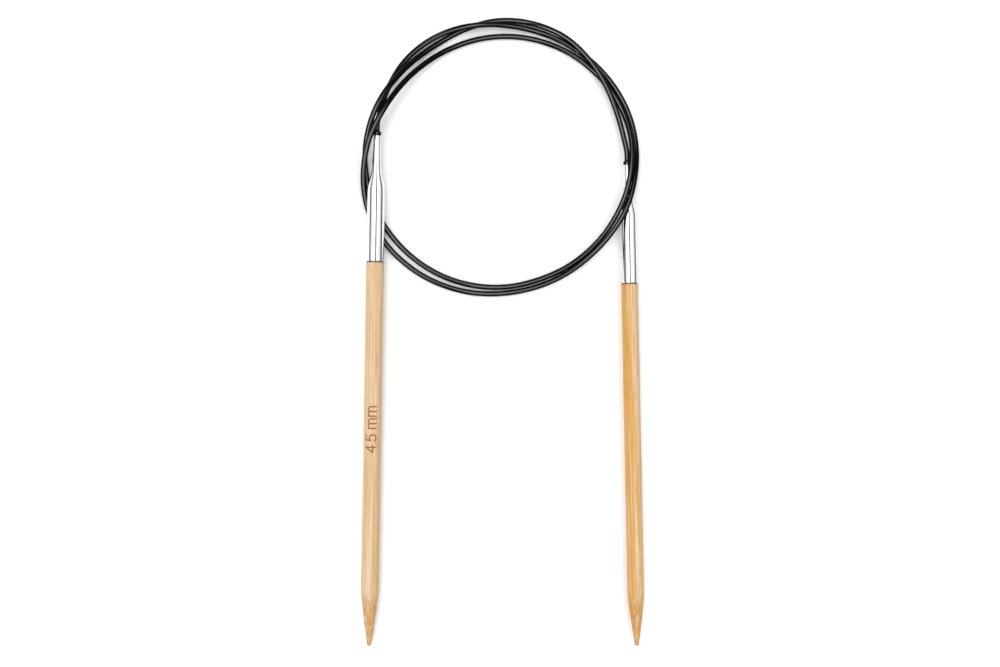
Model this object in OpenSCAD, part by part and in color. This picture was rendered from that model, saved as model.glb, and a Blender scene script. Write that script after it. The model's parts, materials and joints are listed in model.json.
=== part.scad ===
// Circular knitting needle: two bamboo tips in polished metal ferrules, joined by one long cord.
// It lies flat on a table. X runs across it, -Y towards the points, +Z up, and the table is z = 0.
// Each needle is drawn along its own axis, with z = 0 at the ferrule's mouth and +z towards the point,
// and is then laid down on the table.

/* [Needle tip] */
// Diameter of the straight shank, the size the needle is sold by
shank_d = 4.5; // [4:0.05:5]
// Length of one needle, from the ferrule's mouth to the end of the point
needle_length = 130; // [125:1:140]
// Length of the tapered point
taper_length = 13.5; // [11:0.5:16]
// Diameter of the rounded end of the point
point_d = 1.2; // [0.8:0.1:1.6]
// Length of the tenon that is glued into the ferrule
tenon_length = 12; // [8:1:14]

/* [Ferrule] */
// Length of the ferrule
ferrule_length = 32; // [30:0.5:34]
// Outer diameter of the ferrule's straight part
ferrule_d = 4.4; // [4.2:0.05:4.5]
// Wall thickness of the straight part
ferrule_wall = 0.35; // [0.25:0.05:0.45]
// Outer diameter at the mouth
mouth_d = 1.8; // [1.7:0.05:2]
// Outer diameter where the neck meets the shoulder
neck_d = 2.3; // [2.2:0.05:2.5]
// Length of the slim neck
neck_length = 8; // [7:0.5:9]
// Length of the shoulder between the neck and the straight part
shoulder_length = 6; // [5:0.5:7]
// Length of each of the two bevels that meet where the bamboo starts
seam_bevel = 0.3; // [0.3:0.05:0.5]
// Depth of the groove that the two bevels make
seam_depth = 0.1; // [0.05:0.05:0.15]

/* [Swivel] */
// Diameter of the pin that the needle turns on
pin_d = 1; // [0.9:0.05:1.05]
// Diameter of the pin's head, held behind the mouth's lip
pin_head_d = 1.4; // [1.3:0.05:1.45]
// Radial and axial play between the pin and the ferrule
swivel_play = 0.05; // [0.03:0.01:0.08]
// Length of the lip that holds the pin's head
lip_length = 2; // [1.5:0.1:2.5]

/* [Cord] */
// Diameter of the cord
cord_d = 1.4; // [1.3:0.05:1.4]
// Largest diameter of the collar at the cord's end
collar_d = 2.1; // [1.9:0.1:2.3]
// Length of the collar
collar_length = 1.2; // [1:0.1:1.5]

/* [Hidden] */

// true curves: any number above 12 gives exact round surfaces
$fn = 64;

// ---- where the two needles lie ----
shank_r = shank_d / 2;
ferrule_r = ferrule_d / 2;
shank_end = needle_length - taper_length;
// the left ferrule rides on the two strands that pass beneath it, so its needle slopes up to the mouth
strand_gap = 0.1;
strand_reach = 93;
ferrule_lift = cord_d + strand_gap + ferrule_r - shank_r;
left_slope = asin(ferrule_lift / strand_reach);
left_turn = -0.8;
right_turn = 1.2;
left_mouth = [-34.1, 66.7, shank_r * cos(left_slope) + shank_end * sin(left_slope)];
right_mouth = [33.3, 62, shank_r];

// ---- along one needle ----
mouth_r = mouth_d / 2;
neck_r = neck_d / 2;
shoulder_start = neck_length;
shoulder_end = neck_length + shoulder_length;
bore_r = ferrule_r - ferrule_wall;
throat_r = pin_d / 2 + swivel_play;
chamber_r = pin_head_d / 2 + swivel_play;
neck_bore_r = neck_r - 0.3;
seam_r = ferrule_r - seam_depth;
rim_round = 0.12;
collar_face = -swivel_play;
collar_end = collar_face - collar_length;
pin_grip = 0.9;
pin_head_length = 1;

// ---- the cord's way over the table: angle (degrees), radius and height (mm) about the loop's middle ----
// It starts at the left mouth, runs clockwise for almost two and a half turns and ends at the right mouth.
// Heights follow what the cord rests on: 0.7 on the table, 2.2 or more over another strand, about 4.8 over
// the right ferrule's shoulder and about 6.2 over the left mouth, with a gentle ramp between them.
loop_middle = [-1.3, 62.8];
route = [
    // first turn: down from the left ferrule, over the last turn at the top, then over the right ferrule
    [163, 33.5, 3.7], [156, 33.8, 2.9], [147, 34.3, 1.6], [136, 35, 0.7], [124, 35.3, 0.9], [112, 35.1, 2],
    [101, 34.8, 2.4], [88, 34.9, 1.5], [72, 35.5, 0.7], [54, 36.4, 0.7], [36, 37.4, 0.7], [20, 37.9, 0.9],
    [6, 37.4, 2.2], [-7, 36.4, 4.1], [-20, 35.9, 4.8], [-34, 35.4, 3.8], [-48, 35.2, 1.8], [-64, 35.2, 0.8],
    [-84, 35.5, 0.7], [-106, 36.6, 0.7], [-128, 37.7, 0.7], [-146, 38.1, 0.7], [-156, 37.8, 0.8],
    // second turn: up over the first turn's start, along the inside, then over the right mouth
    [-165, 37.2, 1.8], [-174, 36.3, 3.6], [-185, 34.9, 5.5], [-196, 33.2, 6.2], [-208, 31.9, 5.2],
    [-224, 31.1, 2.6], [-244, 31.1, 0.8], [-266, 31.9, 0.7], [-288, 33.3, 0.7], [-308, 34.8, 0.7],
    [-322, 35.7, 0.8], [-336, 36.2, 1.5], [-350, 35.8, 3.4], [-363, 35, 4.4], [-376, 34.7, 3.8],
    [-390, 34.5, 1.9], [-408, 34, 0.8], [-430, 33.6, 0.7], [-454, 34.2, 0.7], [-478, 35, 0.7],
    [-500, 35.6, 0.7], [-516, 35.9, 0.7],
    // last half turn: over the first turn twice, then inside it to the right mouth
    [-528, 35.8, 1.2], [-540, 35.7, 2.8], [-552, 35.2, 4.3], [-563, 34.5, 4.7], [-574, 33.7, 3.7],
    [-587, 33.4, 1.7], [-600, 33.6, 0.8], [-614, 34.7, 0.7], [-630, 36.3, 0.7], [-646, 37.1, 1],
    [-659, 36.8, 2.2], [-671, 36, 2.4], [-683, 35.1, 2.4], [-696, 34.5, 1.8], [-708, 34.3, 2]
];
full_turns = 2;
lead_length = 1.35;
first_ring = 156;
last_ring = -708;
ring_step = 12;
cord_sides = 8;

// ---- placing a needle ----
function towards_point(turn, slope) = [sin(turn) * cos(slope), -cos(turn) * cos(slope), -sin(slope)];

module lay_needle(side) {
    mouth = side == "left" ? left_mouth : right_mouth;
    turn = side == "left" ? left_turn : right_turn;
    slope = side == "left" ? left_slope : 0;
    translate(mouth) rotate([90 + slope, 0, turn]) children();
}

// ---- cord ----
left_axis = towards_point(left_turn, left_slope);
right_axis = towards_point(right_turn, 0);

// a point in space as angle, radius and height about the loop's middle
function as_polar(p, turns) = let (x = p[0] - loop_middle[0], y = p[1] - loop_middle[1])
    [atan2(y, x) - 360 * turns, norm([x, y]), p[2]];

left_exit = left_mouth + collar_end * left_axis;
right_exit = right_mouth + collar_end * right_axis;
whole_route = concat(
    [as_polar(left_exit, 0), as_polar(left_exit - lead_length * left_axis, 0)],
    route,
    [as_polar(right_exit - lead_length * right_axis, full_turns), as_polar(right_exit, full_turns)]);
last = len(whole_route) - 1;

// slope of column k of the route at point i, from the points on both sides of it
function step_slope(i, k) = (whole_route[i + 1][k] - whole_route[i][k])
    / (whole_route[i + 1][0] - whole_route[i][0]);
function route_slope(i, k) = i == 0 ? step_slope(0, k)
    : i == last ? step_slope(last - 1, k)
    : let (before = whole_route[i][0] - whole_route[i - 1][0],
           after = whole_route[i + 1][0] - whole_route[i][0])
        (step_slope(i - 1, k) * after + step_slope(i, k) * before) / (before + after);

// column k of the route at any angle, on a smooth curve through the route's points
function stretch(angle, i = 0) = i >= last - 1 || angle >= whole_route[i + 1][0] ? i : stretch(angle, i + 1);
function route_at(angle, k) = let (
        i = stretch(angle),
        span = whole_route[i + 1][0] - whole_route[i][0],
        t = (angle - whole_route[i][0]) / span)
    (2 * pow(t, 3) - 3 * t * t + 1) * whole_route[i][k]
    + (3 * t * t - 2 * pow(t, 3)) * whole_route[i + 1][k]
    + (pow(t, 3) - 2 * t * t + t) * span * route_slope(i, k)
    + (pow(t, 3) - t * t) * span * route_slope(i + 1, k);

// the cord never dips below the table
function cord_point(angle) = [
    loop_middle[0] + route_at(angle, 1) * cos(angle),
    loop_middle[1] + route_at(angle, 1) * sin(angle),
    max(cord_d / 2, route_at(angle, 2))];

ring_angles = concat([whole_route[0][0], whole_route[1][0]],
    [for (a = [first_ring:-ring_step:last_ring]) a],
    [whole_route[last - 1][0], whole_route[last][0]]);
ring_count = len(ring_angles);
middles = [for (a = ring_angles) cord_point(a)];

function unit(v) = v / norm(v);
function ring_direction(i) = i == 0 ? -left_axis
    : i == ring_count - 1 ? right_axis
    : unit(middles[i + 1] - middles[i - 1]);
function ring_corners(i) = let (
        along = ring_direction(i),
        side = unit(cross(along, [0, 0, 1])),
        up = cross(side, along))
    [for (s = [0:cord_sides - 1]) let (a = (s + 0.5) * 360 / cord_sides)
        middles[i] + cord_d / 2 * (cos(a) * side + sin(a) * up)];

function corner(i, s) = i * cord_sides + s % cord_sides;

module cord() {
    points = [for (i = [0:ring_count - 1]) each ring_corners(i)];
    skin = [for (i = [0:ring_count - 2], s = [0:cord_sides - 1]) each [
        [corner(i, s), corner(i, s + 1), corner(i + 1, s + 1)],
        [corner(i, s), corner(i + 1, s + 1), corner(i + 1, s)]]];
    start_face = [[for (s = [cord_sides - 1:-1:0]) corner(0, s)]];
    end_face = [[for (s = [0:cord_sides - 1]) corner(ring_count - 1, s)]];
    color([0.07, 0.07, 0.08]) polyhedron(points = points, faces = concat(skin, start_face, end_face));
}

// ---- collar on the cord's end: a short flared ring with a blind hole for the pin ----
module cord_collar() {
    outer_r = collar_d / 2;
    tail_r = cord_d / 2 + 0.06;
    color([0.09, 0.09, 0.1]) rotate_extrude() polygon([
        [0, collar_end], [tail_r, collar_end], [outer_r - 0.06, collar_end + 0.3],
        [outer_r, collar_end + 0.55], [outer_r, collar_face - 0.15], [outer_r - 0.12, collar_face],
        [pin_d / 2, collar_face], [pin_d / 2, collar_face - pin_grip], [0, collar_face - pin_grip]]);
}

// ---- swivel pin: fixed in the cord, its head turns freely behind the mouth's lip ----
module swivel_pin() {
    head_start = lip_length + swivel_play;
    color([0.7, 0.7, 0.72]) {
        translate([0, 0, collar_face - pin_grip])
            cylinder(h = head_start - collar_face + pin_grip, d = pin_d);
        translate([0, 0, head_start]) cylinder(h = pin_head_length, d = pin_head_d);
    }
}

// ---- ferrule: a swaged tube ----
// eases from 0 to 1, level at both ends
function ease(t) = t * t * (3 - 2 * t);
shoulder_steps = 10;

// the shoulder's profile between two radii, both ends included
function shoulder(from_r, to_r) = [for (i = [0:shoulder_steps]) let (t = i / shoulder_steps)
    [from_r + (to_r - from_r) * ease(t), shoulder_start + shoulder_length * t]];
function reversed(list) = [for (i = [len(list) - 1:-1:0]) list[i]];

module ferrule() {
    outside = concat([[mouth_r - rim_round, 0], [mouth_r, rim_round]],
        shoulder(neck_r, ferrule_r), [[ferrule_r, ferrule_length - seam_bevel], [seam_r, ferrule_length]]);
    inside = concat([[bore_r, ferrule_length]], reversed(shoulder(neck_bore_r, bore_r)),
        [[chamber_r, lip_length + 2], [chamber_r, lip_length], [throat_r, lip_length], [throat_r, 0]]);
    color([0.8, 0.81, 0.83]) rotate_extrude() polygon(concat(outside, inside));
}

// ---- bamboo tip: tenon, straight shank and tapered point ----
end_r = point_d / 2;
taper_angle = atan((shank_r - end_r) / (taper_length - end_r));
ease_radius = 20;
ease_reach = ease_radius * tan(taper_angle / 2);
straight_end = shank_end - ease_reach;
ease_steps = 5;
point_steps = 7;

module tip(shade) {
    tenon_end = ferrule_length - tenon_length;
    // the shank eases into the taper along a wide arc
    shank_to_taper = [for (i = [0:ease_steps]) let (a = taper_angle * i / ease_steps)
        [shank_r - ease_radius * (1 - cos(a)), straight_end + ease_radius * sin(a)]];
    rounded_point = [for (i = [0:point_steps]) let (a = taper_angle + (90 - taper_angle) * i / point_steps)
        [end_r * cos(a), needle_length - end_r + end_r * sin(a)]];
    color(shade) rotate_extrude() polygon(concat(
        [[0, tenon_end], [bore_r, tenon_end], [bore_r, ferrule_length],
            [seam_r, ferrule_length], [shank_r, ferrule_length + seam_bevel]],
        shank_to_taper, rounded_point));
}

// ---- the pieces in place ----
module cord_collar_left() { lay_needle("left") cord_collar(); }
module cord_collar_right() { lay_needle("right") cord_collar(); }
module swivel_pin_left() { lay_needle("left") swivel_pin(); }
module swivel_pin_right() { lay_needle("right") swivel_pin(); }
module ferrule_left() { lay_needle("left") ferrule(); }
module ferrule_right() { lay_needle("right") ferrule(); }
module tip_left() { lay_needle("left") tip([0.92, 0.81, 0.64]); }
module tip_right() { lay_needle("right") tip([0.92, 0.76, 0.5]); }

cord();
cord_collar_left();
cord_collar_right();
swivel_pin_left();
swivel_pin_right();
ferrule_left();
ferrule_right();
tip_left();
tip_right();
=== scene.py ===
import json
import math

import bpy
import numpy as np
from mathutils import Matrix, Vector, noise


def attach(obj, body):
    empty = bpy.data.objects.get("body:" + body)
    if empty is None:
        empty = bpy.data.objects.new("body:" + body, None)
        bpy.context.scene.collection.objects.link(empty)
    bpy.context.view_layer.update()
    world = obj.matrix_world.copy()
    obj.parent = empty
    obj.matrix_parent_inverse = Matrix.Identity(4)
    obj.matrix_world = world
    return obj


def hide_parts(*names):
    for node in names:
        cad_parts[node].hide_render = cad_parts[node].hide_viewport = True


# The looks of a circular knitting needle: two bamboo tips in polished ferrules on one long black cord.
# Each rigid piece is a lathe-turned mesh drawn in millimetres along its needle's own axis, with z = 0 at the
# ferrule's mouth and +z towards the point, x upwards and y to the left, and is then laid down in metres.

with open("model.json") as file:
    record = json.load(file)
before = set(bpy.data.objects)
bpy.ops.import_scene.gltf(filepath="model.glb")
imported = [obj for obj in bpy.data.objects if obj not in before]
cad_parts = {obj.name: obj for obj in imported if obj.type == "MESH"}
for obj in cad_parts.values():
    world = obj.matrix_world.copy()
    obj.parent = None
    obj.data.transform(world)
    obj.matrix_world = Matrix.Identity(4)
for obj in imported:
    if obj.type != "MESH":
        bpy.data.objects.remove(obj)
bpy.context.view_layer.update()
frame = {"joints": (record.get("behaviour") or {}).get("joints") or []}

MM = 0.001
SIDES = ("left", "right")
STRAIGHT = "straight"
BURNT = "burnt"


# ---- where the needles lie ----

def needle_place(side):
    """The matrix that lays a needle down from the joint at its ferrule's mouth, and turns mm into metres."""
    joint = next(j for j in frame["joints"] if j["name"] == side + "_swivel")
    along = Vector(joint["axis"]).normalized()
    up = Vector((0, 0, 1))
    up = (up - up.dot(along) * along).normalized()
    left = along.cross(up)
    turn = Matrix((up, left, along)).transposed().to_4x4()
    return Matrix.Translation(joint["pos_m"]) @ turn @ Matrix.Scale(MM, 4)


PLACE = {side: needle_place(side) for side in SIDES}

# ---- sizes along one needle, in millimetres ----
# bamboo tip: a straight shank, an eased start to the taper, and a rounded point
SHANK_R = 2.25
NEEDLE_LENGTH = 130.0
TAPER_LENGTH = 13.5
POINT_R = 0.6
EASE_RADIUS = 20.0
TENON_LENGTH = 12.0
# ferrule: its body, the slim neck at the mouth and the shoulder between them
FERRULE_LENGTH = 32.0
FERRULE_R = 2.2
BORE_R = 1.85
MOUTH_R = 0.9
NECK_R = 1.15
NECK_BORE_R = 0.85
NECK_LENGTH = 8.0
SHOULDER_LENGTH = 6.0
# the groove where the tip meets its ferrule
SEAM_BEVEL = 0.3
SEAM_R = 2.1
# swivel: the lip inside the mouth, the chamber behind it and the headed pin that both hold
LIP_LENGTH = 2.0
THROAT_R = 0.55
CHAMBER_R = 0.75
PIN_R = 0.5
PIN_HEAD_R = 0.7
PIN_GRIP = 0.9
# collar on the cord's end, from its flat face back to the bare cord
COLLAR_FACE = -0.05
COLLAR_LENGTH = 1.2
COLLAR_R = 1.05
COLLAR_END = COLLAR_FACE - COLLAR_LENGTH
CORD_R = 0.7
# rounding of the rims of the mouth and the collar
RIM_R = 0.12
RIM_STEPS = 6
# depth of the burnt mark, and how near two sizes are when they count as the same
BURN_DEPTH = 0.045
SAME_SIZE = 0.001


# ---- camera ----

AIM = Vector((-0.00133, 0.0165, 0.0))
CAMERA_DISTANCE = 0.2574
CAMERA_LEAN = math.radians(12)


def make_camera():
    """Looks down from above and a little to the left, with +Y at the top of the picture."""
    data = bpy.data.cameras.new("camera")
    data.lens = 35
    data.sensor_width = 36
    data.clip_start = 0.01
    data.clip_end = 10
    camera = bpy.data.objects.new("camera", data)
    back = Vector((-math.sin(CAMERA_LEAN), 0, math.cos(CAMERA_LEAN)))
    right = Vector((math.cos(CAMERA_LEAN), 0, math.sin(CAMERA_LEAN)))
    upward = back.cross(right)
    turn = Matrix((right, upward, back)).transposed().to_4x4()
    camera.matrix_world = Matrix.Translation(AIM + back * CAMERA_DISTANCE) @ turn
    bpy.context.scene.collection.objects.link(camera)
    bpy.context.scene.camera = camera


# ---- small tools for outlines and meshes ----
SHARP_ANGLE = math.radians(35)


def between(low, high, step):
    """Values from low to high, both included, about step apart."""
    count = max(1, round((high - low) / step))
    return [low + (high - low) * i / count for i in range(count + 1)]


def arc(x, y, rx, ry, start, end, steps):
    """Points on part of an ellipse about (x, y), with the angles in degrees."""
    turns = [math.radians(start + (end - start) * i / steps) for i in range(steps + 1)]
    return [(x + rx * math.cos(t), y + ry * math.sin(t)) for t in turns]


def ease(t):
    """Eases from 0 to 1, level at both ends."""
    t = min(1.0, max(0.0, t))
    return t * t * (3 - 2 * t)


def store(mesh, name, kind, values):
    """Keeps a value for each vertex, for the materials to read."""
    field = {"FLOAT": "value", "FLOAT_VECTOR": "vector"}[kind]
    layer = mesh.attributes.new(name, kind, "POINT")
    layer.data.foreach_set(field, np.asarray(values, np.float32).ravel())


def make_mesh(name, points, faces, straight, burnt=None):
    """A smooth mesh with its sharp edges kept.

    straight holds each vertex's place on the straight, even piece, in mm, and burnt how burnt it is there.
    """
    mesh = bpy.data.meshes.new(name)
    mesh.from_pydata([tuple(p) for p in points], [], faces)
    mesh.validate()
    store(mesh, STRAIGHT, "FLOAT_VECTOR", straight)
    if burnt is not None:
        store(mesh, BURNT, "FLOAT", burnt)
    mesh.shade_smooth()
    mesh.set_sharp_from_angle(angle=SHARP_ANGLE)
    return mesh


def ring_faces(rings, sides):
    """Quads between rings of vertices, wound so that their outer side faces away from the axis."""
    faces = []
    for i in range(rings - 1):
        for s in range(sides):
            t = (s + 1) % sides
            faces.append((i * sides + s, i * sides + t, (i + 1) * sides + t, (i + 1) * sides + s))
    return faces


def lathe(name, profile, sides, relief=None, burn=None):
    """A turned piece from its outline, (radius, z) in mm, which starts and ends on the axis.

    relief(angle, radius, z) is how far the surface moves outwards, and burn(angle, z) is how burnt it is.
    """
    inner = profile[1:-1]
    points = []
    straight = []
    burnt = []
    for radius, z in inner:
        for s in range(sides):
            angle = 2 * math.pi * s / sides
            scorch = burn(angle, z) if burn and radius > SHANK_R - SAME_SIZE else 0.0
            r = radius + (relief(angle, radius, z) if relief else 0.0) - BURN_DEPTH * scorch
            points.append((r * math.cos(angle), r * math.sin(angle), z))
            straight.append((radius * math.cos(angle), radius * math.sin(angle), z))
            burnt.append(scorch)
    faces = ring_faces(len(inner), sides)
    pole = len(points)
    last = (len(inner) - 1) * sides
    for z, base, flip in ((profile[0][1], 0, True), (profile[-1][1], last, False)):
        points.append((0, 0, z))
        straight.append((0, 0, z))
        burnt.append(0.0)
        for s in range(sides):
            a, b = base + s, base + (s + 1) % sides
            faces.append((b, a, pole) if flip else (a, b, pole))
        pole += 1
    return make_mesh(name, points, faces, straight, burnt)


def tube_lathe(name, outline, sides, relief):
    """A turned piece with a hole right through it, from its closed outline, (radius, z) in mm."""
    points = []
    straight = []
    for radius, z in outline:
        for s in range(sides):
            angle = 2 * math.pi * s / sides
            r = radius + relief(angle, radius, z)
            points.append((r * math.cos(angle), r * math.sin(angle), z))
            straight.append((radius * math.cos(angle), radius * math.sin(angle), z))
    faces = ring_faces(len(outline), sides)
    last = (len(outline) - 1) * sides
    for s in range(sides):
        t = (s + 1) % sides
        faces.append((last + s, last + t, t, s))
    return make_mesh(name, points, faces, straight)


def add_piece(name, mesh, side, body, slot, material, *nodes):
    """Puts a turned piece in its place, on its body, instead of the CAD nodes that it stands for."""
    piece = bpy.data.objects.new(name, mesh)
    bpy.context.scene.collection.objects.link(piece)
    mesh.materials.append(material)
    piece.matrix_world = PLACE[side]
    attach(piece, body)
    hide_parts(*nodes)


# ---- small tools for materials ----

def new_material(name):
    """An empty node material with one shader: (material, node tree, shader)."""
    material = bpy.data.materials.new(name)
    material.use_nodes = True
    tree = material.node_tree
    tree.nodes.clear()
    shader = tree.nodes.new("ShaderNodeBsdfPrincipled")
    output = tree.nodes.new("ShaderNodeOutputMaterial")
    tree.links.new(shader.outputs["BSDF"], output.inputs["Surface"])
    return material, tree, shader


def plug(tree, value, socket):
    """Links an output to a socket, or sets a plain number or colour on it."""
    if isinstance(value, bpy.types.NodeSocket):
        tree.links.new(value, socket)
    elif isinstance(value, (tuple, list)) and len(value) == 3 and socket.type == "RGBA":
        socket.default_value = (*value, 1)
    else:
        socket.default_value = value


def read(tree, name, output):
    """A value that the mesh keeps for each vertex."""
    node = tree.nodes.new("ShaderNodeAttribute")
    node.attribute_name = name
    return node.outputs[output]


def scaled(tree, vector, x, y, z):
    """A vector with each of its numbers multiplied."""
    node = tree.nodes.new("ShaderNodeVectorMath")
    node.operation = "MULTIPLY"
    tree.links.new(vector, node.inputs[0])
    node.inputs[1].default_value = (x, y, z)
    return node.outputs["Vector"]


def speckle(tree, vector, scale, detail=2.0, roughness=0.5):
    """Soft noise from 0 to 1 over a vector."""
    node = tree.nodes.new("ShaderNodeTexNoise")
    tree.links.new(vector, node.inputs["Vector"])
    node.inputs["Scale"].default_value = scale
    node.inputs["Detail"].default_value = detail
    node.inputs["Roughness"].default_value = roughness
    return node.outputs["Fac"]


def spots(tree, vector, scale):
    """The distance to the nearest of a field of scattered points."""
    node = tree.nodes.new("ShaderNodeTexVoronoi")
    tree.links.new(vector, node.inputs["Vector"])
    node.inputs["Scale"].default_value = scale
    return node.outputs["Distance"]


def fade(tree, value, low, high, to_low=0.0, to_high=1.0):
    """A value moved smoothly from one range to another, and kept inside it."""
    node = tree.nodes.new("ShaderNodeMapRange")
    node.interpolation_type = "SMOOTHSTEP"
    tree.links.new(value, node.inputs["Value"])
    node.inputs["From Min"].default_value = low
    node.inputs["From Max"].default_value = high
    node.inputs["To Min"].default_value = to_low
    node.inputs["To Max"].default_value = to_high
    return node.outputs["Result"]


def along_axis(tree, place):
    """How far along the piece a place is, in mm."""
    node = tree.nodes.new("ShaderNodeSeparateXYZ")
    tree.links.new(place, node.inputs["Vector"])
    return node.outputs["Z"]


def combine(tree, operation, a, b):
    """A sum, product or other result of two numbers."""
    node = tree.nodes.new("ShaderNodeMath")
    node.operation = operation
    plug(tree, a, node.inputs[0])
    plug(tree, b, node.inputs[1])
    return node.outputs["Value"]


def tint(tree, factor, a, b):
    """Colour a turned into colour b by a factor."""
    node = tree.nodes.new("ShaderNodeMix")
    node.data_type = "RGBA"
    plug(tree, factor, node.inputs[0])
    plug(tree, a, node.inputs[6])
    plug(tree, b, node.inputs[7])
    return node.outputs[2]


def bumped(tree, height, depth_mm):
    """A surface normal that follows a height, in which a rise of 1 stands for depth_mm of relief."""
    node = tree.nodes.new("ShaderNodeBump")
    node.inputs["Distance"].default_value = depth_mm * MM
    tree.links.new(height, node.inputs["Height"])
    return node.outputs["Normal"]


# ---- materials ----

def bamboo(name, pale, deep, fibre, cut_grain, shaded_side, seed):
    """Sanded bamboo: fibre bundles that run along the needle and show as flecks where the point cuts them.

    One side of the shank, given as a direction in x and y, is painted deeper and warmer: painted shade along
    that side.
    """
    material, tree, shader = new_material(name)
    place = read(tree, STRAIGHT, "Vector")
    shifted = tree.nodes.new("ShaderNodeVectorMath")
    shifted.operation = "ADD"
    tree.links.new(place, shifted.inputs[0])
    shifted.inputs[1].default_value = (seed, seed * 0.37, seed * 1.9)
    grain = shifted.outputs["Vector"]
    z = along_axis(tree, place)

    # how far towards the side with painted shade, from 0 to 1
    towards = tree.nodes.new("ShaderNodeVectorMath")
    towards.operation = "DOT_PRODUCT"
    tree.links.new(place, towards.inputs[0])
    towards.inputs[1].default_value = (shaded_side[0] / SHANK_R, shaded_side[1] / SHANK_R, 0)
    side_shade = fade(tree, towards.outputs["Value"], 0.0, 0.95)

    # broad bands, then streaks, then bundles of fibres, then single fibres
    bands = speckle(tree, scaled(tree, grain, 1.0, 1.0, 0.01), 0.8, 2.0)
    streaks = speckle(tree, scaled(tree, grain, 1.0, 1.0, 0.012), 3.1, 2.0, 0.6)
    bundles = spots(tree, scaled(tree, grain, 1.0, 1.0, 0.022), 2.1)
    hairs = speckle(tree, scaled(tree, grain, 1.0, 1.0, 0.03), 6.0, 2.0, 0.7)

    colour = tint(tree, fade(tree, bands, 0.35, 0.7, 0.0, 0.45), pale, deep)
    # painted shade: the shaded side of the shank is tinted deeper and warmer
    colour = tint(tree, combine(tree, "MULTIPLY", side_shade, 0.9), colour, deep)
    colour = tint(tree, fade(tree, streaks, 0.5, 0.57, 0.0, 0.95), colour, deep)
    lighter = (pale[0] * 1.02, pale[1] * 1.09, pale[2] * 1.25)
    colour = tint(tree, fade(tree, streaks, 0.4, 0.47, 0.8, 0.0), colour, lighter)
    colour = tint(tree, fade(tree, bundles, 0.1, 0.3, 0.62, 0.0), colour, fibre)
    colour = tint(tree, fade(tree, hairs, 0.53, 0.63, 0.0, 0.5), colour, fibre)

    # the cut grain of the point is duller and darker, and the groove at the ferrule is painted dark: a glue
    # line and painted shade
    taper_start = NEEDLE_LENGTH - TAPER_LENGTH
    cut = fade(tree, z, taper_start - 2, taper_start + 4)
    flecks = speckle(tree, scaled(tree, grain, 1.0, 1.0, 0.09), 3.4, 3.0, 0.6)
    dull = combine(tree, "MULTIPLY", cut, fade(tree, flecks, 0.42, 0.58, 0.0, 0.95))
    colour = tint(tree, dull, colour, cut_grain)
    # glue line and painted shade in the groove where the tip meets its ferrule
    groove = fade(tree, z, FERRULE_LENGTH + 0.2, FERRULE_LENGTH + 0.34, 0.92, 0.0)
    colour = tint(tree, groove, colour, (0.09, 0.055, 0.035))

    # the burnt mark, mottled brown
    burnt = read(tree, BURNT, "Fac")
    scorch = speckle(tree, grain, 3.0, 2.0)
    char = tint(tree, scorch, (0.14, 0.042, 0.01), (0.27, 0.095, 0.025))
    colour = tint(tree, combine(tree, "MULTIPLY", burnt, 0.92), colour, char)
    tree.links.new(colour, shader.inputs["Base Color"])

    # waxed along the shank, rougher where it is cut and roughest where it is burnt
    waxed = fade(tree, streaks, 0.3, 0.7, 0.38, 0.5)
    rough = combine(tree, "ADD", waxed, combine(tree, "MULTIPLY", cut, 0.16))
    charred = combine(tree, "MULTIPLY", burnt, 0.78)
    tree.links.new(combine(tree, "MAXIMUM", rough, charred), shader.inputs["Roughness"])
    pores = combine(tree, "MULTIPLY", fade(tree, bundles, 0.08, 0.24, 1.0, 0.0), 0.35)
    relief = combine(tree, "SUBTRACT", combine(tree, "MULTIPLY", hairs, 0.75), pores)
    tree.links.new(bumped(tree, relief, 0.03), shader.inputs["Normal"])
    shader.inputs["Specular IOR Level"].default_value = 0.35
    shader.inputs["Coat Weight"].default_value = 0.08
    shader.inputs["Coat Roughness"].default_value = 0.3
    return material


def polished_metal(name):
    """Nickel plate, polished like a mirror, with faint draw marks along it and handling haze."""
    material, tree, shader = new_material(name)
    place = read(tree, STRAIGHT, "Vector")
    draw_marks = speckle(tree, scaled(tree, place, 1.0, 1.0, 0.05), 11.0, 3.0, 0.65)
    haze = speckle(tree, scaled(tree, place, 1.0, 1.0, 0.4), 0.8, 3.0, 0.6)
    smears = speckle(tree, scaled(tree, place, 1.0, 1.0, 0.25), 2.3, 2.0)
    colour = tint(tree, fade(tree, haze, 0.4, 0.75), (0.79, 0.79, 0.8), (0.71, 0.705, 0.7))
    z = along_axis(tree, place)
    # glue line and painted shade at the ferrule's end, in the groove where the tip meets it
    seam_glue_and_shade = fade(tree, z, FERRULE_LENGTH - 0.24, FERRULE_LENGTH - 0.08, 0.0, 0.85)
    colour = tint(tree, seam_glue_and_shade, colour, (0.05, 0.04, 0.035))
    tree.links.new(colour, shader.inputs["Base Color"])
    shader.inputs["Metallic"].default_value = 1.0
    marks = combine(tree, "MULTIPLY", fade(tree, draw_marks, 0.5, 0.8), 0.05)
    handled = fade(tree, smears, 0.45, 0.8, 0.03, 0.08)
    tree.links.new(combine(tree, "ADD", handled, marks), shader.inputs["Roughness"])
    tree.links.new(bumped(tree, draw_marks, 0.0012), shader.inputs["Normal"])
    return material


def turned_steel(name):
    """Plain turned steel, with fine tool rings around it."""
    material, tree, shader = new_material(name)
    place = read(tree, STRAIGHT, "Vector")
    rings = speckle(tree, scaled(tree, place, 0.2, 0.2, 1.0), 14.0, 3.0, 0.6)
    colour = tint(tree, rings, (0.5, 0.5, 0.52), (0.68, 0.67, 0.66))
    tree.links.new(colour, shader.inputs["Base Color"])
    shader.inputs["Metallic"].default_value = 1.0
    tree.links.new(fade(tree, rings, 0.3, 0.7, 0.24, 0.42), shader.inputs["Roughness"])
    tree.links.new(bumped(tree, rings, 0.006), shader.inputs["Normal"])
    return material


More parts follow.
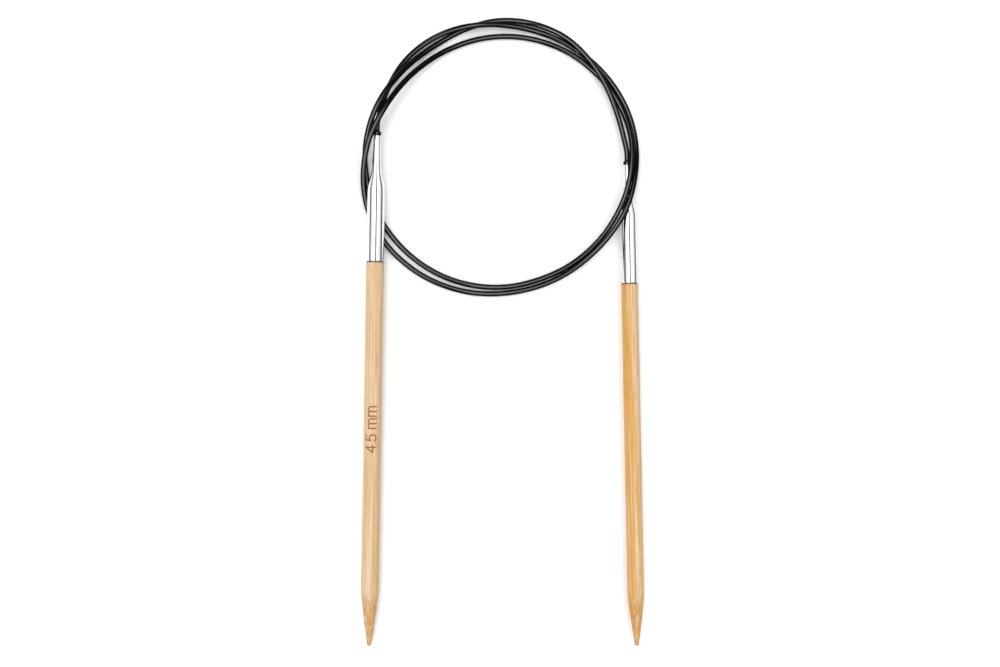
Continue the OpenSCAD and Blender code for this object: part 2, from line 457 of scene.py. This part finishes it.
def black_plastic(name, low, high, shine, scuff_scale, gloss_ior):
    """Black plastic: lines from the die, soft scuffs, a little dust, and gloss where it faces the viewer.

    shine is the gloss's roughness, and gloss_ior is above a real plastic's, for a clear band along the cord.
    """
    material, tree, shader = new_material(name)
    place = read(tree, STRAIGHT, "Vector")
    die_lines = speckle(tree, scaled(tree, place, 1.0, 1.0, 0.01), 6.5, 3.0, 0.6)
    scuffs = speckle(tree, scaled(tree, place, 1.0, 1.0, 0.3), scuff_scale, 4.0, 0.65)
    dust = spots(tree, scaled(tree, place, 1.0, 1.0, 0.6), 1.3)
    colour = tint(tree, fade(tree, scuffs, 0.35, 0.75), low, high)
    colour = tint(tree, fade(tree, dust, 0.03, 0.07, 0.35, 0.0), colour, (0.06, 0.06, 0.058))
    tree.links.new(colour, shader.inputs["Base Color"])
    tree.links.new(fade(tree, scuffs, 0.3, 0.75, shine, shine + 0.14), shader.inputs["Roughness"])
    tree.links.new(bumped(tree, die_lines, 0.008), shader.inputs["Normal"])
    shader.inputs["IOR"].default_value = 1.5
    shader.inputs["Specular IOR Level"].default_value = 0.03
    facing = tree.nodes.new("ShaderNodeLayerWeight")
    facing.inputs["Blend"].default_value = 0.5
    gloss = fade(tree, facing.outputs["Facing"], 0.012, 0.1, 1.0, 0.01)
    tree.links.new(gloss, shader.inputs["Coat Weight"])
    shader.inputs["Coat IOR"].default_value = gloss_ior
    shader.inputs["Coat Roughness"].default_value = shine
    return material


CORD_BLACK = black_plastic(
    "cord_black",
    low=(0.0008, 0.0008, 0.0009),
    high=(0.0022, 0.0022, 0.0024),
    shine=0.06,
    scuff_scale=1.6,
    gloss_ior=2.0,
)
COLLAR_BLACK = black_plastic(
    "collar_black",
    low=(0.002, 0.002, 0.0022),
    high=(0.006, 0.006, 0.006),
    shine=0.16,
    scuff_scale=2.4,
    gloss_ior=1.8,
)
METAL = polished_metal("polished_nickel")
STEEL = turned_steel("turned_steel")
BAMBOO = {
    "left": bamboo(
        "pale_bamboo",
        pale=(0.6, 0.455, 0.3),
        deep=(0.56, 0.34, 0.145),
        fibre=(0.42, 0.25, 0.12),
        cut_grain=(0.43, 0.215, 0.056),
        shaded_side=(0.2, -0.98),
        seed=3.1,
    ),
    "right": bamboo(
        "warm_bamboo",
        pale=(0.625, 0.46, 0.285),
        deep=(0.575, 0.29, 0.055),
        fibre=(0.415, 0.21, 0.055),
        cut_grain=(0.42, 0.21, 0.056),
        shaded_side=(0.2, 0.98),
        seed=11.7,
    ),
}


# ---- cord ----
# Its way over the table: angle (degrees), radius and height (m) about the loop's middle. This is the same list
# as in the CAD source. It starts at the left mouth, runs clockwise for almost two and a half turns and ends at
# the right mouth.
LOOP_MIDDLE = Vector((-0.0013, 0.0628))
ROUTE = [
    # first turn: down from the left ferrule, over the last turn at the top, then over the right ferrule
    (163, 0.0335, 0.0037), (156, 0.0338, 0.0029), (147, 0.0343, 0.0016), (136, 0.035, 0.0007),
    (124, 0.0353, 0.0009), (112, 0.0351, 0.002), (101, 0.0348, 0.0024), (88, 0.0349, 0.0015),
    (72, 0.0355, 0.0007), (54, 0.0364, 0.0007), (36, 0.0374, 0.0007), (20, 0.0379, 0.0009),
    (6, 0.0374, 0.0022), (-7, 0.0364, 0.0041), (-20, 0.0359, 0.0048), (-34, 0.0354, 0.0038),
    (-48, 0.0352, 0.0018), (-64, 0.0352, 0.0008), (-84, 0.0355, 0.0007), (-106, 0.0366, 0.0007),
    (-128, 0.0377, 0.0007), (-146, 0.0381, 0.0007), (-156, 0.0378, 0.0008),
    # second turn: up over the first turn's start, along the inside, then over the right ferrule's neck
    (-165, 0.0372, 0.0018), (-174, 0.0363, 0.0036), (-185, 0.0349, 0.0055), (-196, 0.0332, 0.0062),
    (-208, 0.0319, 0.0052), (-224, 0.0311, 0.0026), (-244, 0.0311, 0.0008), (-266, 0.0319, 0.0007),
    (-288, 0.0333, 0.0007), (-308, 0.0348, 0.0007), (-322, 0.0357, 0.0008), (-336, 0.0362, 0.0015),
    (-350, 0.0358, 0.0034), (-363, 0.035, 0.0044), (-376, 0.0347, 0.0038), (-390, 0.0345, 0.0019),
    (-408, 0.034, 0.0008), (-430, 0.0336, 0.0007), (-454, 0.0342, 0.0007), (-478, 0.035, 0.0007),
    (-500, 0.0356, 0.0007), (-516, 0.0359, 0.0007),
    # last half turn: over the first turn twice, then inside it to the right mouth
    (-528, 0.0358, 0.0012), (-540, 0.0357, 0.0028), (-552, 0.0352, 0.0043), (-563, 0.0345, 0.0047),
    (-574, 0.0337, 0.0037), (-587, 0.0334, 0.0017), (-600, 0.0336, 0.0008), (-614, 0.0347, 0.0007),
    (-630, 0.0363, 0.0007), (-646, 0.0371, 0.001), (-659, 0.0368, 0.0022), (-671, 0.036, 0.0024),
    (-683, 0.0351, 0.0024), (-696, 0.0345, 0.0018), (-708, 0.0343, 0.002),
]
# the route's last angles are this many turns past the right mouth's own
FULL_TURNS = 2
# how far the cord runs straight out of each collar, and how deep its end sits in it (mm)
LEAD_LENGTH = 1.35
CORD_TUCK = 0.2
# one ring of vertices for about so many degrees of the route
CORD_STEP = 1.3
CORD_SIDES = 20


def as_polar(point, turns):
    """A point in space as angle, radius and height about the loop's middle."""
    flat = Vector(point[:2]) - LOOP_MIDDLE
    return (math.degrees(math.atan2(flat.y, flat.x)) - 360 * turns, flat.length, point[2])


def route_slopes(route):
    """The slope of radius and height at each point of the route, from the points on both sides of it."""
    steps = [tuple((b[k] - a[k]) / (b[0] - a[0]) for k in (1, 2)) for a, b in zip(route, route[1:])]
    slopes = [steps[0]]
    for i in range(1, len(route) - 1):
        before = route[i][0] - route[i - 1][0]
        after = route[i + 1][0] - route[i][0]
        pairs = zip(steps[i - 1], steps[i])
        slopes.append(tuple((a * after + b * before) / (before + after) for a, b in pairs))
    return slopes + [steps[-1]]


def route_at(route, slopes, angle):
    """Radius and height at an angle, on a smooth curve through the route's points."""
    i = next((k for k in range(len(route) - 2) if angle >= route[k + 1][0]), len(route) - 2)
    span = route[i + 1][0] - route[i][0]
    t = (angle - route[i][0]) / span
    return [
        (2 * t**3 - 3 * t**2 + 1) * route[i][k + 1]
        + (3 * t**2 - 2 * t**3) * route[i + 1][k + 1]
        + (t**3 - 2 * t**2 + t) * span * slopes[i][k]
        + (t**3 - t**2) * span * slopes[i + 1][k]
        for k in (0, 1)
    ]


def cord_line():
    """The cord's centreline from the left collar to the right one, in metres."""
    exits = {side: PLACE[side] @ Vector((0, 0, COLLAR_END)) for side in SIDES}
    leads = {side: PLACE[side] @ Vector((0, 0, COLLAR_END - LEAD_LENGTH)) for side in SIDES}
    route = [as_polar(exits["left"], 0), as_polar(leads["left"], 0), *ROUTE]
    route += [as_polar(leads["right"], FULL_TURNS), as_polar(exits["right"], FULL_TURNS)]
    slopes = route_slopes(route)
    line = []
    for angle in between(route[-1][0], route[0][0], CORD_STEP)[::-1]:
        radius, height = route_at(route, slopes, angle)
        turn = math.radians(angle)
        flat = LOOP_MIDDLE + radius * Vector((math.cos(turn), math.sin(turn)))
        line.append(Vector((flat.x, flat.y, max(CORD_R * MM, height))))
    tucked = {side: PLACE[side] @ Vector((0, 0, COLLAR_END + CORD_TUCK)) for side in SIDES}
    return [tucked["left"], *line, tucked["right"]]


def make_cord():
    """One round black tube along the whole line, with its straight length kept for the material."""
    line = cord_line()
    points = []
    straight = []
    run = 0.0
    for i, middle in enumerate(line):
        ahead = line[min(i + 1, len(line) - 1)]
        behind = line[max(i - 1, 0)]
        along = (ahead - behind).normalized()
        side = along.cross(Vector((0, 0, 1))).normalized()
        up = side.cross(along)
        run += (middle - line[i - 1]).length / MM if i else 0.0
        for s in range(CORD_SIDES):
            angle = 2 * math.pi * s / CORD_SIDES
            points.append(middle + CORD_R * MM * (math.cos(angle) * side + math.sin(angle) * up))
            straight.append((CORD_R * math.cos(angle), CORD_R * math.sin(angle), run))
    faces = ring_faces(len(line), CORD_SIDES)
    last = (len(line) - 1) * CORD_SIDES
    faces.append(tuple(range(CORD_SIDES))[::-1])
    faces.append(tuple(range(last, last + CORD_SIDES)))
    mesh = make_mesh("long_cord", points, faces, straight)
    mesh.materials.append(CORD_BLACK)
    cord = bpy.data.objects.new("long_cord", mesh)
    bpy.context.scene.collection.objects.link(cord)
    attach(cord, "cord")
    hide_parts("cord")


# ---- the burnt size mark: plain strokes of a generic size ----
# lengths in mm; the strokes themselves are drawn in letter heights
LETTER_HEIGHT = 2.75
STROKE_R = 0.18
STROKE_SOFT = 0.045
MARK_START = 80.2
MARK_ANGLE = math.radians(14)
MARK_MARGIN = 0.5
ARC_STEPS = 10


def small_m(x):
    """The strokes of an m that starts at x."""
    strokes = [[(x, 0), (x, 0.76)]]
    for left in (x, x + 0.44):
        strokes.append(arc(left + 0.22, 0.55, 0.22, 0.21, 180, 0, ARC_STEPS) + [(left + 0.44, 0)])
    return strokes


def mark_strokes():
    """The strokes of the size, as lines of (along, up) in letter heights."""
    four = [(0.46, 0), (0.46, 1), (0, 0.3), (0.62, 0.3)]
    dot = [(0.86, 0.02), (0.86, 0.05)]
    five = [(1.6, 1), (1.14, 1), (1.1, 0.56)] + arc(1.32, 0.33, 0.3, 0.33, 140, -150, ARC_STEPS)
    return [four, dot, five] + small_m(2.2) + small_m(3.32)


MARK = [np.array(stroke) * LETTER_HEIGHT for stroke in mark_strokes()]
MARK_LENGTH = max(stroke[:, 0].max() for stroke in MARK)


def stroke_distance(here, stroke):
    """How far a place on the unrolled shank is from a stroke of the mark."""
    start = stroke[:-1]
    step = stroke[1:] - start
    share = np.clip(((here - start) * step).sum(1) / np.maximum((step * step).sum(1), 1e-9), 0, 1)
    return float(np.linalg.norm(here - start - share[:, None] * step, axis=1).min())


def burn_at(angle, z):
    """How burnt the shank is at an angle and z, from 0 to 1. The mark reads towards the ferrule."""
    along = MARK_START - z
    up = ((angle - MARK_ANGLE + math.pi) % (2 * math.pi) - math.pi) * SHANK_R + LETTER_HEIGHT / 2
    beside = not -MARK_MARGIN < along < MARK_LENGTH + MARK_MARGIN
    if beside or not -MARK_MARGIN < up < LETTER_HEIGHT + MARK_MARGIN:
        return 0.0
    here = np.array((along, up))
    nearest = min(stroke_distance(here, stroke) for stroke in MARK)
    return 1.0 - ease((nearest - STROKE_R + STROKE_SOFT) / (2 * STROKE_SOFT))


# ---- bamboo tips ----
TIP_SIDES = 150
GRAIN_RELIEF = 0.012
TENON_BEVEL = 0.4
CONE_SWELL = 0.03


def grain_relief(seed):
    """Long shallow ridges left by the fibres, on the shank and the point."""
    def relief(angle, radius, z):
        if z < FERRULE_LENGTH + SEAM_BEVEL or radius < POINT_R:
            return 0.0
        x, y = radius * math.cos(angle), radius * math.sin(angle)
        fine = noise.noise(Vector((x * 3.2 + seed, y * 3.2, z * 0.06)))
        broad = noise.noise(Vector((x * 0.9, y * 0.9 + seed, z * 0.03)))
        return GRAIN_RELIEF * (0.6 * fine + 0.8 * broad - 0.7)
    return relief


def tip_profile(with_mark):
    """The outline of a tip from its tenon to its rounded point, with fine rings under the mark."""
    shank_end = NEEDLE_LENGTH - TAPER_LENGTH
    slope = math.atan((SHANK_R - POINT_R) / (TAPER_LENGTH - POINT_R))
    straight_end = shank_end - EASE_RADIUS * math.tan(slope / 2)
    tenon_end = FERRULE_LENGTH - TENON_LENGTH
    outline = [(0, tenon_end), (BORE_R - TENON_BEVEL, tenon_end), (BORE_R, tenon_end + TENON_BEVEL)]
    outline += [(BORE_R, z) for z in between(tenon_end + 0.9, FERRULE_LENGTH - 0.01, 1.0)]
    outline += [(SEAM_R, FERRULE_LENGTH), (SHANK_R - 0.012, FERRULE_LENGTH + SEAM_BEVEL * 0.8)]
    shank = between(FERRULE_LENGTH + SEAM_BEVEL, straight_end, 0.8)
    if with_mark:
        mark = between(MARK_START - MARK_LENGTH - 0.4, MARK_START + 0.4, 0.075)
        shank = [z for z in shank if z < mark[0] - 0.2 or z > mark[-1] + 0.2] + mark
    outline += [(SHANK_R, z) for z in sorted(shank)]

    # the eased start of the taper, the slightly swelled cone and the rounded point
    slope_degrees = math.degrees(slope)
    outline += arc(SHANK_R - EASE_RADIUS, straight_end, EASE_RADIUS, EASE_RADIUS, 0, slope_degrees, 8)[1:]
    wide_r, wide_z = outline[-1]
    nose = arc(0, NEEDLE_LENGTH - POINT_R, POINT_R, POINT_R, slope_degrees, 90, 9)
    slim_r, slim_z = nose[0]
    for share in between(0, 1, 1 / 32)[1:]:
        swell = CONE_SWELL * math.sin(math.pi * share)
        outline.append((wide_r + (slim_r - wide_r) * share + swell, wide_z + (slim_z - wide_z) * share))
    return outline + nose[1:-1] + [(0, NEEDLE_LENGTH)]


def make_tips():
    """The two bamboo tips. Only the left one carries the mark."""
    for side, seed, slot in (("left", 5.0, "bamboo_pale"), ("right", 23.0, "bamboo_warm")):
        marked = side == "left"
        burn = burn_at if marked else None
        tip = lathe(side + "_tip", tip_profile(marked), TIP_SIDES, grain_relief(seed), burn)
        add_piece(side + "_tip", tip, side, "needle_" + side, slot, BAMBOO[side], "tip_" + side)


# ---- ferrules ----
FERRULE_SIDES = 128
WALL_RIPPLE = 0.004


def ripple(seed):
    """The faint unevenness of a swaged and polished tube, on its outside only."""
    def relief(angle, radius, z):
        outside = radius > shell_radius(z) - 0.02
        if not outside or z > FERRULE_LENGTH - SEAM_BEVEL or z < 0.3:
            return 0.0
        x, y = radius * math.cos(angle), radius * math.sin(angle)
        return WALL_RIPPLE * noise.noise(Vector((x * 0.9 + seed, y * 0.9, z * 0.75)))
    return relief


def shell_radius(z):
    """The ferrule's outer radius at z."""
    if z < NECK_LENGTH:
        return MOUTH_R + (NECK_R - MOUTH_R) * z / NECK_LENGTH
    return NECK_R + (FERRULE_R - NECK_R) * ease((z - NECK_LENGTH) / SHOULDER_LENGTH)


def ferrule_outline():
    """The closed outline of a ferrule: up its outside from the rolled mouth, and down its bore."""
    shoulder_end = NECK_LENGTH + SHOULDER_LENGTH
    outline = arc(MOUTH_R - RIM_R, RIM_R, RIM_R, RIM_R, -90, 0, RIM_STEPS)
    outline += [(shell_radius(z), z) for z in between(0.3, NECK_LENGTH, 0.3)]
    outline += [(shell_radius(z), z) for z in between(NECK_LENGTH, shoulder_end, 0.2)[1:]]
    outline += [(FERRULE_R, z) for z in between(shoulder_end, FERRULE_LENGTH - SEAM_BEVEL, 0.4)[1:]]
    outline += [(FERRULE_R - 0.03, FERRULE_LENGTH - 0.16), (SEAM_R, FERRULE_LENGTH)]
    outline.append((BORE_R, FERRULE_LENGTH))
    for t in between(0, 1, 0.1)[::-1]:
        bore = NECK_BORE_R + (BORE_R - NECK_BORE_R) * ease(t)
        outline.append((bore, NECK_LENGTH + SHOULDER_LENGTH * t))
    outline += [(CHAMBER_R, LIP_LENGTH + 2), (CHAMBER_R, LIP_LENGTH)]
    outline += [(THROAT_R, LIP_LENGTH), (THROAT_R, 0.06), (THROAT_R + 0.05, 0)]
    return outline


def make_ferrules():
    """The two polished tubes."""
    for side, seed in (("left", 1.3), ("right", 7.9)):
        shell = tube_lathe(side + "_ferrule", ferrule_outline(), FERRULE_SIDES, ripple(seed))
        body = "needle_" + side
        add_piece(side + "_ferrule", shell, side, body, "polished_metal", METAL, "ferrule_" + side)


# ---- collars and swivel pins ----
SMALL_SIDES = 64


def collar_outline():
    """A moulded sleeve that swells from the cord to a flat face, with a blind hole for the pin."""
    tail_r = CORD_R + 0.04
    swell_start = COLLAR_END + 0.08
    swell_end = COLLAR_END + 0.5
    outline = [(0, COLLAR_END), (CORD_R, COLLAR_END), (tail_r, COLLAR_END + 0.03)]
    for t in between(0, 1, 0.1)[1:]:
        radius = tail_r + (COLLAR_R - tail_r) * ease(t)
        outline.append((radius, swell_start + (swell_end - swell_start) * t))
    outline.append((COLLAR_R, COLLAR_FACE - 0.16))
    outline += arc(COLLAR_R - RIM_R, COLLAR_FACE - RIM_R, RIM_R, RIM_R, 0, 90, RIM_STEPS)
    outline += [(PIN_R + 0.04, COLLAR_FACE), (PIN_R, COLLAR_FACE - 0.05)]
    return outline + [(PIN_R, COLLAR_FACE - PIN_GRIP), (0, COLLAR_FACE - PIN_GRIP)]


def pin_outline():
    """A headed pin with grip grooves where the collar holds it."""
    foot = COLLAR_FACE - PIN_GRIP
    head = LIP_LENGTH - COLLAR_FACE
    rim = head + 0.6
    crown = 0.4
    ridge_r = PIN_R - 0.005
    groove_r = PIN_R - 0.06
    outline = [(0, foot), (PIN_R - 0.12, foot), (PIN_R - 0.03, foot + 0.08)]
    for z in between(foot + 0.16, foot + 0.7, 0.18):
        outline += [(ridge_r, z), (ridge_r, z + 0.06), (groove_r, z + 0.09), (groove_r, z + 0.13)]
    outline += [(PIN_R, foot + 0.92), (PIN_R, head - 0.06), (PIN_R + 0.04, head)]
    outline += [(PIN_HEAD_R - 0.06, head), (PIN_HEAD_R, head + 0.06), (PIN_HEAD_R, rim)]
    outline += arc(0, rim, PIN_HEAD_R, crown, 0, 90, 8)[1:-1]
    return outline + [(0, rim + crown)]


def make_cord_ends():
    """The collar and the swivel pin at each end of the cord. They stay still when a needle turns."""
    for side in SIDES:
        collar = lathe(side + "_collar", collar_outline(), SMALL_SIDES)
        stands_for = "cord_collar_" + side
        add_piece(side + "_collar", collar, side, "cord", "black_collar", COLLAR_BLACK, stands_for)
        pin = lathe(side + "_pin", pin_outline(), SMALL_SIDES)
        add_piece(side + "_pin", pin, side, "cord", "pin_steel", STEEL, "swivel_pin_" + side)


# ---- floor, lights and surroundings ----

def make_floor():
    """A plain pale table, no larger than the part that the lights cover well."""
    half = 0.75
    corners = [(-half, -half, 0), (half, -half, 0), (half, half, 0), (-half, half, 0)]
    mesh = bpy.data.meshes.new("floor")
    mesh.from_pydata(corners, [], [(0, 1, 2, 3)])
    floor = bpy.data.objects.new("floor", mesh)
    material, _, shader = new_material("pale_table")
    shader.inputs["Base Color"].default_value = (0.93, 0.93, 0.93, 1)
    shader.inputs["Roughness"].default_value = 0.9
    shader.inputs["Specular IOR Level"].default_value = 0.1
    mesh.materials.append(material)
    bpy.context.scene.collection.objects.link(floor)


def make_softbox(name, place, width, depth, radiance):
    """A rectangular light that faces straight down, unseen by the camera. radiance is how bright it is."""
    data = bpy.data.lights.new(name, "AREA")
    data.shape = "RECTANGLE"
    data.size = width
    data.size_y = depth
    data.energy = radiance * math.pi * width * depth
    light = bpy.data.objects.new(name, data)
    light.location = place
    light.visible_camera = False
    bpy.context.scene.collection.objects.link(light)


def make_surroundings():
    """A dim studio, darkest towards the horizon, that the camera itself sees as plain white."""
    world = bpy.data.worlds.new("studio")
    bpy.context.scene.world = world
    world.use_nodes = True
    tree = world.node_tree
    tree.nodes.clear()
    around = tree.nodes.new("ShaderNodeTexCoord")
    split = tree.nodes.new("ShaderNodeSeparateXYZ")
    tree.links.new(around.outputs["Generated"], split.inputs["Vector"])
    ramp = tree.nodes.new("ShaderNodeValToRGB")
    for element, position, grey in zip(ramp.color_ramp.elements, (0.0, 0.6), (0.05, 0.2)):
        element.position = position
        element.color = (grey, grey, grey, 1)
    tree.links.new(split.outputs["Z"], ramp.inputs["Fac"])
    dim = tree.nodes.new("ShaderNodeBackground")
    tree.links.new(ramp.outputs["Color"], dim.inputs["Color"])
    white = tree.nodes.new("ShaderNodeBackground")
    white.inputs["Color"].default_value = (1, 1, 1, 1)
    path = tree.nodes.new("ShaderNodeLightPath")
    choose = tree.nodes.new("ShaderNodeMixShader")
    tree.links.new(path.outputs["Is Camera Ray"], choose.inputs["Fac"])
    tree.links.new(dim.outputs["Background"], choose.inputs[1])
    tree.links.new(white.outputs["Background"], choose.inputs[2])
    output = tree.nodes.new("ShaderNodeOutputWorld")
    tree.links.new(choose.outputs["Shader"], output.inputs["Surface"])


LIGHT_HEIGHT = 0.42
STRIP = (-1.5, 1.6)
LIGHTS = (
    # name, x from and to, y from and to (m), brightness
    ("window_left", -0.5, -0.09, *STRIP, 2.1),
    ("window_right", 0.03, 0.4, *STRIP, 1.35),
    ("wing_left", -1.0, -0.5, *STRIP, 0.8),
    ("wing_right", 0.4, 0.75, *STRIP, 0.75),
    ("far_left", -1.7, -1.0, *STRIP, 0.4),
    ("far_right", 0.75, 1.3, *STRIP, 0.4),
    ("key", -0.17, -0.11, 0.15, 0.21, 22.0),
)


def make_lights():
    """A ceiling of soft strips with a dark gap over the middle, and one small bright key. All face down."""
    for name, x_from, x_to, y_from, y_to, brightness in LIGHTS:
        place = ((x_from + x_to) / 2, (y_from + y_to) / 2, LIGHT_HEIGHT)
        make_softbox(name, place, x_to - x_from, y_to - y_from, brightness)


# ---- building it all ----
make_camera()
make_cord()
make_tips()
make_ferrules()
make_cord_ends()
make_floor()
make_surroundings()
make_lights()
bpy.context.scene.view_settings.view_transform = "Standard"
